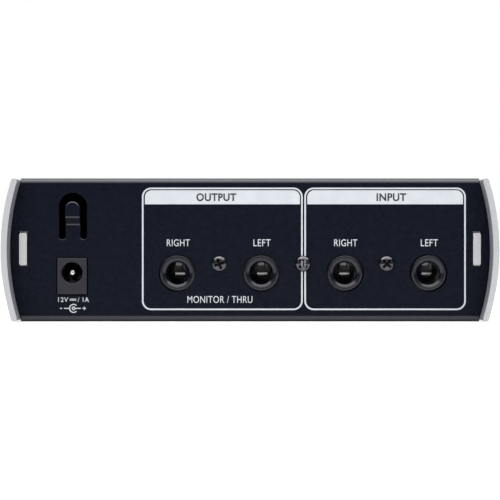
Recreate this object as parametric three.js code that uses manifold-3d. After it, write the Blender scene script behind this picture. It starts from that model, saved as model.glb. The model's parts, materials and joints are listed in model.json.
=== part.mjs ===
// A third-rack-width stereo line box with its headphone outputs, in millimetres, +Z up.
// The origin is the middle of the base. The connector panel faces -Y and the control panel faces +Y.
// A folded steel wrap makes the top, the connector panel and the base. The control panel closes its
// open side, and two extruded cheeks are held between the panels by their tabs.
import * as THREE from "three";
import { mergeVertices } from "three/addons/utils/BufferGeometryUtils.js";
import Module from "manifold-3d";

const wasm = await Module();
wasm.setup();

// ---------------------------------------------------------------- driving dimensions
const WIDTH = 149.3;
const HEIGHT = 43.55;
const DEPTH = 140;
const MID_Z = HEIGHT / 2;
const GAP = 0.3; // clearance between neighbouring pieces
const SHEET = 1.2; // steel of the wrap
const PANEL = 1.6; // plate of the control panel
const CHEEK_LIP = 7; // how far the cheeks stand past each panel
const KNOB_REACH = 14; // from the control panel to the front of the knobs
const REAR_Y = -DEPTH / 2 + CHEEK_LIP; // outer face of the connector panel
const FRONT_Y = DEPTH / 2 - KNOB_REACH; // outer face of the control panel
const REAR_IN = REAR_Y + SHEET; // inner face of the connector panel
const FRONT_IN = FRONT_Y - PANEL; // inner face of the control panel

const WRAP_HALF = 69.5; // half the width of the top and the base
const TOP_BEND = 1.5; // outer radius of the top bend
const BASE_BEND = 2;
const EAR_CLEAR = 0.4; // the connector panel's ears stop this far from both bends
const PANEL_EAR = 2.4; // the control panel's ears stop this far from the top and the base
const PANEL_EDGE = 0.2; // the control panel's middle stops this far from the top and the base
const FLANGE = { thick: 1, deep: 8.5, z: SHEET + GAP, half: 60 }; // folded back from the control panel
const CHEEK_R = 72; // outer face of the bowed wall
const CHEEK_WALL = 1.8;
const CHEEK_TIP_Z = 20.53; // height of each tip's centre above and below the middle
const CHEEK_AXIS_X = WIDTH / 2 - CHEEK_R;
const EAR_R = CHEEK_R - CHEEK_WALL - GAP; // side edges of both panels follow the bow
const TAB = { x: 68.9, thick: 2.3, tall: 10, z: 22.1, proud: 0.2 };
const WEB = { thick: 1.5, rise: 12.5 }; // the two webs inside each cheek

const JACK = {
  z: 14.8, nose: 5.45, bore: 3.25, proud: 0.5, half: 8, below: 6.45, above: 6.5, deep: 27,
  edge: 0.15, mouth: 4.3, throat: 1.2, end: 1.5,
};
// The jack's contact: a leaf under the slot's roof whose free end slants down into the bore.
const CONTACT = {
  x0: -0.9, x1: 2.3, thick: 0.4, top: 5.8, start: 11.6, end: 25, bend: 21.5, tipY: 18.2, tipZ: -1,
  blunt: 0.3, heel: 0.8, lean: 0.6,
};
const CONTACT_SLOT = { x0: -1.5, x1: 2.9, start: 11.2 };
const JACK_PITCH = 25.4;
const FIRST_JACK_X = -22;
const REAR_JACKS = ["output_right", "output_left", "input_right", "input_left"];
const PANEL_SCREW_Z = 17.6;
// A pan head a little off the panel, its cross recess, and a shank that tapers at its end.
const PAN = { r: 2.3, rise: 1.15, lift: 0.05, flat: 1.1, shoulderR: 1.9, shoulder: 0.85, rim: 0.3 };
const PAN_SHANK = { end: 5.6, tip: 6.6, tipR: 0.7 };
const PAN_RECESS = { long: 2.9, wide: 0.9, deep: 0.65 };
const PANEL_SCREW_TURNS = [25, 45, 45]; // degrees

const INLET = {
  x: -54, z: 14.9, wide: 9, low: -6.55, high: 4.4, proud: 0.6, deep: 13, hole: 3.15, floor: 10.6,
};
const INLET_PIN = { r: 1, tipR: 0.6, tip: 0.8, shoulder: 1.4, tail: 0.5 };
// The leaf along the bottom of the inlet's hole, and the tail that runs down from its back end.
const INLET_LEAF = { half: 1.5, start: 1.2, end: 9.8, low: -2.7, high: -2.3, tail: 0.5 };
const INLET_SLOT = { half: 2, start: 8.2, top: -1 };
// A tongue punched out of the panel steps outwards between its bend and its flat end.
const HOOK = {
  x: -53.75, low: 24.8, top: 39.1, half: 4.2, tongue: 2.3, tip: 36.7, proud: 2,
  bend: 29.6, flat: 31.9, foot: 0.7,
};

const BOARD = { top: 8.05, thick: 1.6, half: 64 };
const ON_BOARD = BOARD.top + GAP;
const BRACKET = { sheet: 1, side: 8, top: 24, footHalf: 3.5, footDeep: 7 };
const CONTROL_BOARD = { y: 45.1, thick: 1.6, half: 63, low: 24.6, high: 40.6 };
const SPACER = { flange: 2.75, neck: 2, above: 0.6 }; // swaged into the main board

const CHANNELS = 4;
const CHANNEL_PITCH = 22;
const FIRST_CHANNEL_X = 14;
const KNOB_Z = 30.6;
const CHANNEL_KNOB_R = 7;
const MAIN = { x: 50, z: 30.2, knob: 9 };
const SHAFT_R = 3;
const POT = { half: 4.8, rise: 5.6, deep: 6.6, bore: 4.2, shaftIn: 3.9 };
const POT_FRONT = -PANEL - 2 * GAP; // from the control panel's outer face
const SHAFT_TIP = KNOB_REACH - 4;
// A skirt behind a tapered body, and a groove across the face and down the upper side as a pointer.
const KNOB = { back: 1, skirt: 2, step: 1, body: 0.93, cap: 0.87, round: 0.8 };
const POINTER = { half: 0.5, deep: 0.5, inner: 0.35, start: 3.4 };
const BUTTONS = [
  { name: "mono", x: 56 },
  { name: "mute", x: 44 },
];
const BUTTON = { z: 12.6, wide: 7, tall: 4.4, proud: 4, travel: 2, inside: 1, stem: 1.5, stemEnd: 9.5 };
const SWITCH = { half: 4, front: -5.6, back: -18, top: 3.9 };
const LEDS = [
  { name: "power", x: 31, z: 30.6 },
  { name: "mute", x: 31, z: 12.6 },
];
const LED_R = 1.5;
const LED = { flange: 1.9, back: -5.6, side: 0.4, domeR: 1.1, dome: 1.2, crownR: 0.5, crown: 1.5, top: 1.6 };
const LED_LEG = { xs: [-1.2, 0.7], wide: 0.5, half: 0.25, start: -5 };
const LED_LEG_ENDS = { power: CONTROL_BOARD.y + CONTROL_BOARD.thick + GAP - FRONT_Y, mute: -12 };

const BASE_SCREWS = [
  { x: -50, y: 49 },
  { x: 50, y: 49 },
  { x: -40, y: -26 },
  { x: 40, y: -26 },
];
const SCREW_SHANK = 1.3;
const SCREW_HOLE = SCREW_SHANK + GAP;
const COUNTERSINK = { r: 2.9, hole: 1.7 };
const FLAT_HEAD = { r: 2.45, low: 0.1, neck: SHEET + 0.2 };
const FLAT_SHANK = { end: 5.8, tip: 6.4, tipR: 0.8 };
const FLAT_RECESS = { arm: 1.35, half: 0.4, top: 0.9 };

const HEADER = { x0: -34, x1: -14, y0: 39, low: 25.6, high: 31, rim: 1, pinsY: [40.5, 42.5], pinsLow: 15 };
const CAPACITOR = { x: -52, y: -10, r: 6.25, side: 27.4, topR: 5, top: 28 };
const HEATSINK = {
  x0: -30, x1: -12, y0: -12, y1: -10.5, top: 26, fins: [-29, -24, -19, -14], fin: 1, finEnd: -4,
};
const CHIP = { x0: 6, x1: 26, y0: -8, y1: -1, top: 11 };

const FINE = 32; // sides of a jack nose
const MEDIUM = 24; // sides of a knob
const COARSE = 16; // sides of a small screw or hole

// ---------------------------------------------------------------- solids
function solid(geometry) {
  const bare = geometry.clone();
  bare.deleteAttribute("normal");
  bare.deleteAttribute("uv");
  const merged = mergeVertices(bare, 1e-4);
  return new wasm.Manifold(
    new wasm.Mesh({
      numProp: 3,
      vertProperties: new Float32Array(merged.attributes.position.array),
      triVerts: new Uint32Array(merged.index.array),
    }),
  );
}

function geometryOf(body) {
  const mesh = body.getMesh();
  const geometry = new THREE.BufferGeometry();
  geometry.setAttribute("position", new THREE.BufferAttribute(mesh.vertProperties, 3));
  geometry.setIndex(new THREE.BufferAttribute(mesh.triVerts, 1));
  const flat = geometry.toNonIndexed();
  flat.computeVertexNormals();
  return flat;
}

const join = (...bodies) => bodies.reduce((all, body) => all.add(body));
const cut = (body, ...tools) => tools.reduce((left, tool) => left.subtract(tool), body);

function box(x0, x1, y0, y1, z0, z1) {
  const geometry = new THREE.BoxGeometry(x1 - x0, y1 - y0, z1 - z0);
  return solid(geometry.translate((x0 + x1) / 2, (y0 + y1) / 2, (z0 + z1) / 2));
}

// A profile of [radius, y] pairs turned about the Y axis, moved to (x, z). It runs from low y to high y.
function turned(profile, sides, x = 0, z = 0) {
  const points = profile.map(([r, y]) => new THREE.Vector2(r, y));
  return solid(new THREE.LatheGeometry(points, sides).translate(x, 0, z));
}

const rod = (r, y0, y1, sides, x = 0, z = 0) =>
  turned([[0, y0], [r, y0], [r, y1], [0, y1]], sides, x, z);

// The same, about an upright axis at (x, y): the profile's second value is then a height.
function turnedUp(profile, sides, x, y) {
  const points = profile.map(([r, z]) => new THREE.Vector2(r, z));
  return solid(new THREE.LatheGeometry(points, sides).rotateX(Math.PI / 2).translate(x, y, 0));
}

function extruded(shape, depth, basis, origin, curveSegments = 12) {
  const geometry = new THREE.ExtrudeGeometry(shape, { depth, bevelEnabled: false, curveSegments });
  const place = new THREE.Matrix4().makeBasis(...basis).setPosition(...origin);
  return solid(geometry.applyMatrix4(place));
}

const [X, Y, Z] = [
  new THREE.Vector3(1, 0, 0),
  new THREE.Vector3(0, 1, 0),
  new THREE.Vector3(0, 0, 1),
];

// An outline in X and Z as a plate from y0 to y1.
const plate = (shape, y0, y1, curveSegments) =>
  extruded(shape, y1 - y0, [X, Z, Y.clone().negate()], [0, y1, 0], curveSegments);

// An outline in Y and Z as a bar from x0 to x1.
const bar = (shape, x0, x1, curveSegments) => extruded(shape, x1 - x0, [Y, Z, X], [x0, 0, 0], curveSegments);

const outline = (points) => new THREE.Shape(points.map(([a, b]) => new THREE.Vector2(a, b)));

const root = new THREE.Group();

function addTo(group, name, body, finish) {
  const mesh = new THREE.Mesh(geometryOf(body), new THREE.MeshStandardMaterial(finish));
  mesh.name = name;
  group.add(mesh);
  return mesh;
}

const add = (name, body, finish) => addTo(root, name, body, finish);

const FINISH = {
  blackSteel: { color: 0x1b1d26, roughness: 0.5, metalness: 0.3 },
  silver: { color: 0xc4c6ca, roughness: 0.38, metalness: 0.9 },
  steel: { color: 0xa8abb0, roughness: 0.35, metalness: 1 },
  blackScrew: { color: 0x17181c, roughness: 0.35, metalness: 0.8 },
  blackPlastic: { color: 0x141519, roughness: 0.45, metalness: 0 },
  greyPlastic: { color: 0x2c2d33, roughness: 0.5, metalness: 0 },
  brightMetal: { color: 0xd9dade, roughness: 0.2, metalness: 1 },
  board: { color: 0x14512b, roughness: 0.6, metalness: 0 },
  lens: { color: 0x4f8fe0, roughness: 0.15, metalness: 0 },
  chip: { color: 0x202124, roughness: 0.6, metalness: 0 },
};

// ---------------------------------------------------------------- the panels' shared outline
// Half the width of a panel at a height, where its side follows the cheek's bow.
const bowX = (r, z) => CHEEK_AXIS_X + Math.sqrt(r * r - (z - MID_Z) ** 2);

// The panel's sides bow out between two heights.
function earOutline(low, high, steps = 12) {
  const side = Array.from({ length: steps + 1 }, (_, i) => {
    const z = low + ((high - low) * i) / steps;
    return [bowX(EAR_R, z), z];
  });
  const mirrored = side.map(([x, z]) => [-x, z]).reverse();
  return outline([...side, ...mirrored]);
}

function tabSlots(y0, y1) {
  const half = TAB.thick / 2 + GAP;
  const rise = TAB.tall / 2 + GAP;
  return [-TAB.x, TAB.x].map((x) => box(x - half, x + half, y0, y1, TAB.z - rise, TAB.z + rise));
}

const jackX = (index) => FIRST_JACK_X + index * JACK_PITCH;
const screwXs = [0, 1, 2].map((index) => jackX(index) + JACK_PITCH / 2);
const noseHole = (x, y0, y1) => rod(JACK.nose + GAP, y0, y1, FINE, x, JACK.z);

// ---------------------------------------------------------------- folded wrap
function wrapSection() {
  const end = FRONT_IN - GAP;
  const s = new THREE.Shape();
  const quarter = Math.PI / 2;
  s.moveTo(end, HEIGHT);
  s.lineTo(REAR_Y + TOP_BEND, HEIGHT);
  s.absarc(REAR_Y + TOP_BEND, HEIGHT - TOP_BEND, TOP_BEND, quarter, 2 * quarter, false);
  s.absarc(REAR_Y + BASE_BEND, BASE_BEND, BASE_BEND, 2 * quarter, 3 * quarter, false);
  s.lineTo(end, 0);
  s.lineTo(end, SHEET);
  s.absarc(REAR_Y + BASE_BEND, BASE_BEND, BASE_BEND - SHEET, 3 * quarter, 2 * quarter, true);
  s.absarc(REAR_Y + TOP_BEND, HEIGHT - TOP_BEND, TOP_BEND - SHEET, 2 * quarter, quarter, true);
  s.lineTo(end, HEIGHT - SHEET);
  s.closePath();
  return s;
}

// The inverted U that is punched out round the cord hook's tongue.
function hookSlot() {
  const arch = HOOK.top - HOOK.half;
  const tongueArch = HOOK.tip - HOOK.tongue;
  const leg = (HOOK.half - HOOK.tongue) / 2;
  const legX = (HOOK.half + HOOK.tongue) / 2;
  const s = new THREE.Shape();
  s.absarc(HOOK.x, arch, HOOK.half, 0, Math.PI, false);
  s.absarc(HOOK.x - legX, HOOK.low + leg, leg, Math.PI, 2 * Math.PI, false);
  s.absarc(HOOK.x, tongueArch, HOOK.tongue, Math.PI, 0, true);
  s.absarc(HOOK.x + legX, HOOK.low + leg, leg, Math.PI, 2 * Math.PI, false);
  return s;
}

// The tongue's free end steps out of the panel, so that a cord can be tucked behind it.
function hookTongue() {
  const { bend, flat, foot, tip } = HOOK;
  const face = REAR_Y - HOOK.proud;
  const back = face + SHEET;
  const profile = outline([
    [REAR_Y, bend], [REAR_IN, bend - foot], [REAR_IN, bend],
    [back, flat], [back, tip], [face, tip], [face, flat],
  ]);
  const side = new THREE.Shape();
  side.moveTo(HOOK.x - HOOK.tongue, HOOK.low);
  side.lineTo(HOOK.x + HOOK.tongue, HOOK.low);
  side.absarc(HOOK.x, HOOK.tip - HOOK.tongue, HOOK.tongue, 0, Math.PI, false);
  const stepped = bar(profile, HOOK.x - HOOK.tongue, HOOK.x + HOOK.tongue);
  return stepped.intersect(plate(side, face - 1, REAR_IN + 1));
}

function caseWrap() {
  const ears = earOutline(BASE_BEND + EAR_CLEAR, HEIGHT - TOP_BEND - EAR_CLEAR);
  const body = join(bar(wrapSection(), -WRAP_HALF, WRAP_HALF, 5), plate(ears, REAR_Y, REAR_IN));
  const [y0, y1] = [REAR_Y - 1, REAR_IN + 1];
  const half = INLET.wide / 2 + GAP;
  const inlet = box(
    INLET.x - half, INLET.x + half, y0, y1,
    INLET.z + INLET.low - GAP, INLET.z + INLET.high + GAP,
  );
  const tongueBlank = box(
    HOOK.x - HOOK.tongue, HOOK.x + HOOK.tongue, y0, y1, HOOK.bend, HOOK.tip + GAP,
  );
  const { r, hole } = COUNTERSINK;
  const sink = [[0, -0.1], [r, -0.1], [hole, SHEET], [hole, SHEET + GAP], [0, SHEET + GAP]];
  const countersinks = BASE_SCREWS.map(({ x, y }) => turnedUp(sink, COARSE, x, y));
  return join(
    cut(
      body,
      ...REAR_JACKS.map((_, index) => noseHole(jackX(index), y0, y1)),
      ...screwXs.map((x) => rod(SCREW_HOLE, y0, y1, COARSE, x, PANEL_SCREW_Z)),
      ...tabSlots(y0, y1),
      inlet,
      plate(hookSlot(), y0, y1, 10),
      tongueBlank,
      ...countersinks,
    ),
    hookTongue(),
  );
}

add("case_wrap", caseWrap(), FINISH.blackSteel);

// ---------------------------------------------------------------- cheeks
function bowOutline() {
  const middle = CHEEK_R - CHEEK_WALL / 2;
  const turn = Math.asin(CHEEK_TIP_Z / middle);
  const tip = CHEEK_WALL / 2;
  const tipX = CHEEK_AXIS_X + middle * Math.cos(turn);
  const s = new THREE.Shape();
  s.absarc(CHEEK_AXIS_X, MID_Z, CHEEK_R, -turn, turn, false);
  s.absarc(tipX, MID_Z + CHEEK_TIP_Z, tip, turn, turn + Math.PI, false);
  s.absarc(CHEEK_AXIS_X, MID_Z, CHEEK_R - CHEEK_WALL, turn, -turn, true);
  s.absarc(tipX, MID_Z - CHEEK_TIP_Z, tip, Math.PI - turn, 2 * Math.PI - turn, false);
  return s;
}

// The right cheek: a bowed outer wall, and behind it a flat wall whose tabs lock into both panels.
function cheek() {
  const [y0, y1] = [REAR_IN + GAP, FRONT_IN - GAP];
  const [x0, x1] = [TAB.x - TAB.thick / 2, TAB.x + TAB.thick / 2];
  const webs = [MID_Z - WEB.rise, MID_Z + WEB.rise].map((z) =>
    box(x0, bowX(CHEEK_R - CHEEK_WALL / 2, z), y0, y1, z - WEB.thick / 2, z + WEB.thick / 2),
  );
  return join(
    plate(bowOutline(), -DEPTH / 2, FRONT_Y + CHEEK_LIP, 10),
    box(x0, x1, y0, y1, SHEET + GAP, HEIGHT - SHEET - GAP),
    ...webs,
    box(x0, x1, REAR_Y - TAB.proud, FRONT_Y + TAB.proud, TAB.z - TAB.tall / 2, TAB.z + TAB.tall / 2),
  );
}

// Mirrors a body across the Y-Z plane.
const mirrored = (body) => body.mirror([1, 0, 0]);

add("right_cheek", cheek(), FINISH.silver);
add("left_cheek", mirrored(cheek()), FINISH.silver);

// ---------------------------------------------------------------- control panel
const channels = Array.from({ length: CHANNELS }, (_, index) => ({
  name: `headphone_${index + 1}`,
  x: FIRST_CHANNEL_X - index * CHANNEL_PITCH,
}));
const levels = [
  { name: "main_level", x: MAIN.x, z: MAIN.z, knob: MAIN.knob },
  ...channels.map(({ name, x }) => ({ name, x, z: KNOB_Z, knob: CHANNEL_KNOB_R })),
];

function frontPanel() {
  const [y0, y1] = [FRONT_IN - 1, FRONT_Y + 1];
  const { thick, deep, half } = FLANGE;
  const flange = (z) => box(-half, half, FRONT_IN - deep, FRONT_IN + PANEL / 2, z, z + thick);
  const body = join(
    plate(earOutline(PANEL_EAR, HEIGHT - PANEL_EAR), FRONT_IN, FRONT_Y),
    box(-WRAP_HALF, WRAP_HALF, FRONT_IN, FRONT_Y, PANEL_EDGE, HEIGHT - PANEL_EDGE),
    flange(FLANGE.z),
    flange(HEIGHT - FLANGE.z - thick),
  );
  const [low, high] = [FLANGE.z - 1, FLANGE.z + thick + 1];
  const screwHole = [[0, low], [SCREW_HOLE, low], [SCREW_HOLE, high], [0, high]];
  const buttonHole = (x) =>
    box(
      x - BUTTON.wide / 2 - GAP, x + BUTTON.wide / 2 + GAP, y0, y1,
      BUTTON.z - BUTTON.tall / 2 - GAP, BUTTON.z + BUTTON.tall / 2 + GAP,
    );
  return cut(
    body,
    ...levels.map(({ x, z }) => rod(SHAFT_R + GAP, y0, y1, COARSE, x, z)),
    ...channels.map(({ x }) => noseHole(x, y0, y1)),
    ...BUTTONS.map(({ x }) => buttonHole(x)),
    ...LEDS.map(({ x, z }) => rod(LED_R + GAP, y0, y1, COARSE, x, z)),
    ...tabSlots(y0, y1),
    ...BASE_SCREWS.filter(({ y }) => y > 0).map(({ x, y }) => turnedUp(screwHole, COARSE, x, y)),
  );
}

add("front_panel", frontPanel(), FINISH.blackSteel);

// ---------------------------------------------------------------- jacks
// One 6.35 mm jack about the Y axis: the panel's outer face is at y = 0 and the plug goes in along +Y.
function jackBody() {
  const { nose, bore, proud, half, below, above, deep, edge, mouth, throat, end } = JACK;
  const back = PANEL + 2 * GAP + BRACKET.sheet;
  const floor = deep - end;
  const shell = join(
    turned([[0, -proud], [nose - edge, -proud], [nose, edge - proud], [nose, back + 1], [0, back + 1]], FINE),
    box(-half, half, back, deep, -below, above),
  );
  const socket = turned(
    [[0, -proud - 1], [mouth + 1, -proud - 1], [mouth, -proud], [bore, throat], [bore, floor], [0, floor]],
    FINE,
  );
  const slot = box(CONTACT_SLOT.x0, CONTACT_SLOT.x1, CONTACT_SLOT.start, floor, 0, above + 1);
  return cut(shell, socket, slot);
}

// The tip contact: a bent leaf that hangs into the back of the bore.
function jackSpring() {
  const { x0, x1, thick, top, start, end, bend, tipY, tipZ, blunt, heel, lean } = CONTACT;
  const under = top - thick;
  const upper = [[start, top], [end, top], [end, under], [bend, under], [tipY, tipZ]];
  const lower = [[tipY - blunt, tipZ], [tipY - heel, tipZ + thick], [bend - lean, under], [start, under]];
  return bar(outline([...upper, ...lower]), x0, x1);
}

const jackShape = jackBody();
const springShape = jackSpring();

function addJack(name, x, y, turn) {
  const group = new THREE.Group();
  group.position.set(x, y, JACK.z);
  group.rotation.z = turn;
  root.add(group);
  addTo(group, `${name}_jack`, jackShape, FINISH.blackPlastic);
  addTo(group, `${name}_spring`, springShape, FINISH.brightMetal);
}

REAR_JACKS.forEach((name, index) => addJack(name, jackX(index), REAR_Y, 0));
channels.forEach(({ name, x }) => addJack(name, x, FRONT_Y, Math.PI));

// ---------------------------------------------------------------- fixings of the connector panel
// A folded strip behind the panel: the noses pass through it and the three screws pull it up.
function jackBracket() {
  const { sheet, side, top, footHalf, footDeep } = BRACKET;
  const [y0, y1] = [REAR_IN + GAP, REAR_IN + GAP + sheet];
  const [x0, x1] = [jackX(0) - side, jackX(REAR_JACKS.length - 1) + side];
  const foot = (x) => box(x - footHalf, x + footHalf, y0, y1 + footDeep, ON_BOARD, ON_BOARD + sheet);
  return cut(
    join(box(x0, x1, y0, y1, ON_BOARD, top), ...screwXs.map(foot)),
    ...REAR_JACKS.map((_, index) => noseHole(jackX(index), y0 - 1, y1 + 1)),
    ...screwXs.map((x) => rod(SCREW_HOLE, y0 - 1, y1 + 1, COARSE, x, PANEL_SCREW_Z)),
  );
}

add("jack_bracket", jackBracket(), FINISH.steel);

// A pan head with a cross recess, about the Y axis, its head against the panel at y = 0.
function panelScrew() {
  const { r, rise, lift, flat, shoulderR, shoulder, rim } = PAN;
  const { end, tip, tipR } = PAN_SHANK;
  const head = [[0, -rise], [flat, -rise], [shoulderR, -shoulder], [r, -rim], [r, -lift]];
  const shank = [[SCREW_SHANK, -lift], [SCREW_SHANK, end], [tipR, tip], [0, tip]];
  const { long, wide, deep } = PAN_RECESS;
  const slot = (turn) => {
    const arm = new THREE.BoxGeometry(long, 2 * deep, wide).translate(0, -rise, 0);
    return solid(arm.rotateY(turn));
  };
  return cut(turned([...head, ...shank], COARSE), slot(0), slot(Math.PI / 2));
}

const screwShape = panelScrew();
screwXs.forEach((x, index) => {
  const screw = add(`panel_screw_${index + 1}`, screwShape, FINISH.blackScrew);
  screw.position.set(x, REAR_Y, PANEL_SCREW_Z);
  screw.rotation.y = THREE.MathUtils.degToRad(PANEL_SCREW_TURNS[index]);
});

// ---------------------------------------------------------------- power inlet
function inletBody() {
  const { wide, low, high, proud, deep, hole, floor } = INLET;
  const { half, start, top } = INLET_SLOT;
  return cut(
    box(-wide / 2, wide / 2, -proud, deep, low, high),
    rod(hole, -proud - 1, floor, FINE),
    rod(INLET_PIN.r + GAP, floor - 1, deep + 1, COARSE),
    box(-half, half, start, floor, low - 1, top),
  );
}

// The leaf along the bottom of the hole that touches the plug's sleeve, and its solder tail.
function inletSpring() {
  const { half, start, end, low, high, tail } = INLET_LEAF;
  const leaf = box(-half, half, start, end, low, high);
  return join(leaf, box(-half, half, end - tail, end, INLET.low, (low + high) / 2));
}

function inletPin() {
  const { r, tipR, tip, shoulder, tail } = INLET_PIN;
  const end = INLET.deep + tail;
  return turned([[0, tip], [tipR, tip], [r, shoulder], [r, end], [0, end]], COARSE);
}

[
  ["dc_inlet", inletBody(), FINISH.greyPlastic],
  ["dc_inlet_spring", inletSpring(), FINISH.steel],
  ["dc_inlet_pin", inletPin(), FINISH.brightMetal],
].forEach(([name, body, finish]) => add(name, body, finish).position.set(INLET.x, REAR_Y, INLET.z));

// ---------------------------------------------------------------- level controls
// Potentiometer, shaft and knob about the Y axis, with the control panel's outer face at y = 0.
function potBody() {
  const { half, rise, deep, bore } = POT;
  return cut(
    box(-half, half, POT_FRONT - deep, POT_FRONT, -rise, rise),
    rod(SHAFT_R + GAP, POT_FRONT - bore, POT_FRONT + 1, COARSE),
  );
}

const potShaft = () => rod(SHAFT_R, POT_FRONT - POT.shaftIn, SHAFT_TIP, COARSE);

function knobBody(r) {
  const front = KNOB_REACH;
  const { back, skirt, step, round } = KNOB;
  const [body, cap] = [r * KNOB.body, r * KNOB.cap];
  const { half, deep, inner, start } = POINTER;
  const profile = [
    [0, back], [r, back], [r, back + skirt], [body, back + skirt + step], [cap, front - round],
    [cap - round, front], [0, front],
  ];
  return cut(
    turned(profile, MEDIUM),
    rod(SHAFT_R + GAP, back - 1, SHAFT_TIP + GAP, COARSE),
    box(-half, half, front - deep, front + 1, r * inner, r + 1),
    box(-half, half, back + start, front + 1, cap - deep, r + 1),
  );
}

levels.forEach(({ name, x, z, knob }) => {
  const group = new THREE.Group();
  group.position.set(x, FRONT_Y, z);
  root.add(group);
  addTo(group, `${name}_pot`, potBody(), FINISH.greyPlastic);
  addTo(group, `${name}_shaft`, potShaft(), FINISH.steel);
  addTo(group, `${name}_knob`, knobBody(knob), FINISH.blackPlastic);
});

// ---------------------------------------------------------------- push buttons
function buttonCap() {
  const { proud, inside, stem, stemEnd } = BUTTON;
  const [half, rise] = [BUTTON.wide / 2, BUTTON.tall / 2];
  return join(
    box(-half, half, -PANEL - inside, proud, -rise, rise),
    box(-stem, stem, -stemEnd, -PANEL - inside / 2, -stem, stem),
  );
}

function switchBody() {
  const { half, front, back, top } = SWITCH;
  const hollow = BUTTON.stem + GAP;
  return cut(
    box(-half, half, back, front, ON_BOARD - BUTTON.z, top),
    box(-hollow, hollow, -BUTTON.stemEnd - BUTTON.travel - GAP, front + 1, -hollow, hollow),
  );
}

BUTTONS.forEach(({ name, x }) => {
  const group = new THREE.Group();
  group.position.set(x, FRONT_Y, BUTTON.z);
  root.add(group);
  addTo(group, `${name}_button`, buttonCap(), FINISH.greyPlastic);
  addTo(group, `${name}_switch`, switchBody(), FINISH.steel);
});

// ---------------------------------------------------------------- indicators
// A 3 mm lamp about the Y axis, with its flange behind the panel and its two legs going back to the board.
function led(legEnd) {
  const { flange, back, side, domeR, dome, crownR, crown, top } = LED;
  const behind = -PANEL - GAP;
  const base = [[0, back], [flange, back], [flange, behind], [LED_R, behind]];
  const lens = [[LED_R, side], [domeR, dome], [crownR, crown], [0, top]];
  const { xs, wide, half, start } = LED_LEG;
  const legs = xs.map((x) => box(x, x + wide, legEnd, start, -half, half));
  return join(turned([...base, ...lens], COARSE), ...legs);
}

LEDS.forEach(({ name, x, z }) =>
  add(`${name}_led`, led(LED_LEG_ENDS[name]), FINISH.lens).position.set(x, FRONT_Y, z),
);

// ---------------------------------------------------------------- boards and what they carry
const rear = BASE_SCREWS.filter(({ y }) => y < 0);

function mainBoard() {
  const { top, thick, half } = BOARD;
  const [low, high, hole] = [top - thick - 1, top + 1, SPACER.neck + GAP];
  const cutter = [[0, low], [hole, low], [hole, high], [0, high]];
  return cut(
    box(-half, half, REAR_IN + 2 * GAP, FRONT_IN - 1, top - thick, top),
    ...rear.map(({ x, y }) => turnedUp(cutter, COARSE, x, y)),
  );
}

function controlBoard() {
  const { y, thick, half, low, high } = CONTROL_BOARD;
  return box(-half, half, y, y + thick, low, high);
}

add("main_board", mainBoard(), FINISH.board);
add("control_board", controlBoard(), FINISH.board);

// A spacer swaged into the main board, threaded for a screw from below.
function boardSpacer({ x, y }) {
  const { flange, neck, above } = SPACER;
  const [bottom, under, top] = [SHEET + GAP, BOARD.top - BOARD.thick - GAP, BOARD.top + above];
  const foot = [[SCREW_HOLE, bottom], [flange, bottom], [flange, under], [neck, under]];
  return turnedUp([...foot, [neck, top], [SCREW_HOLE, top], [SCREW_HOLE, bottom]], COARSE, x, y);
}

rear.forEach((place, index) => add(`board_spacer_${index + 1}`, boardSpacer(place), FINISH.brightMetal));

// A countersunk screw driven up through the base, its head just inside the sheet.
function baseScrew({ x, y }) {
  const { r, low, neck } = FLAT_HEAD;
  const { end, tip, tipR } = FLAT_SHANK;
  const { arm, half, top } = FLAT_RECESS;
  const profile = [[0, low], [r, low], [SCREW_SHANK, neck], [SCREW_SHANK, end], [tipR, tip], [0, tip]];
  return cut(
    turnedUp(profile, COARSE, x, y),
    box(x - arm, x + arm, y - half, y + half, -1, top),
    box(x - half, x + half, y - arm, y + arm, -1, top),
  );
}

BASE_SCREWS.forEach((place, index) => add(`base_screw_${index + 1}`, baseScrew(place), FINISH.blackScrew));

// The ribbon connector on the back of the control board, behind the level controls.
function boardHeader() {
  const { x0, x1, y0, low, high, rim, pinsY, pinsLow } = HEADER;
  return join(
    box(x0, x1, y0, CONTROL_BOARD.y - GAP, low, high),
    box(x0 + rim, x1 - rim, ...pinsY, ON_BOARD + pinsLow, low + GAP),
  );
}

function filterCapacitor() {
  const { x, y, r, side, topR, top } = CAPACITOR;
  return turnedUp([[0, ON_BOARD], [r, ON_BOARD], [r, side], [topR, top], [0, top]], COARSE, x, y);
}

// A plate that the regulator is bolted to, with four fins.
function regulatorHeatsink() {
  const { x0, x1, y0, y1, top, fins, fin, finEnd } = HEATSINK;
  return join(
    box(x0, x1, y0, y1, ON_BOARD, top),
    ...fins.map((x) => box(x, x + fin, y1 - 0.5, finEnd, ON_BOARD, top)),
  );
}

const amplifierChip = () => box(CHIP.x0, CHIP.x1, CHIP.y0, CHIP.y1, ON_BOARD, CHIP.top);

add("board_header", boardHeader(), FINISH.chip);
add("filter_capacitor", filterCapacitor(), FINISH.chip);
add("regulator_heatsink", regulatorHeatsink(), FINISH.steel);
add("amplifier_chip", amplifierChip(), FINISH.chip);

export default root;
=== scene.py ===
"""The looks of a third-rack-width stereo audio box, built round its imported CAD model.

Shapes are written in millimetres and turned into metres when their mesh is made. The connector panel faces
-Y, the control panel faces +Y, and +X is to the right of someone facing the connector panel.
"""

import json
import math

import bmesh
import bpy
from mathutils import Matrix, Vector


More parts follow.
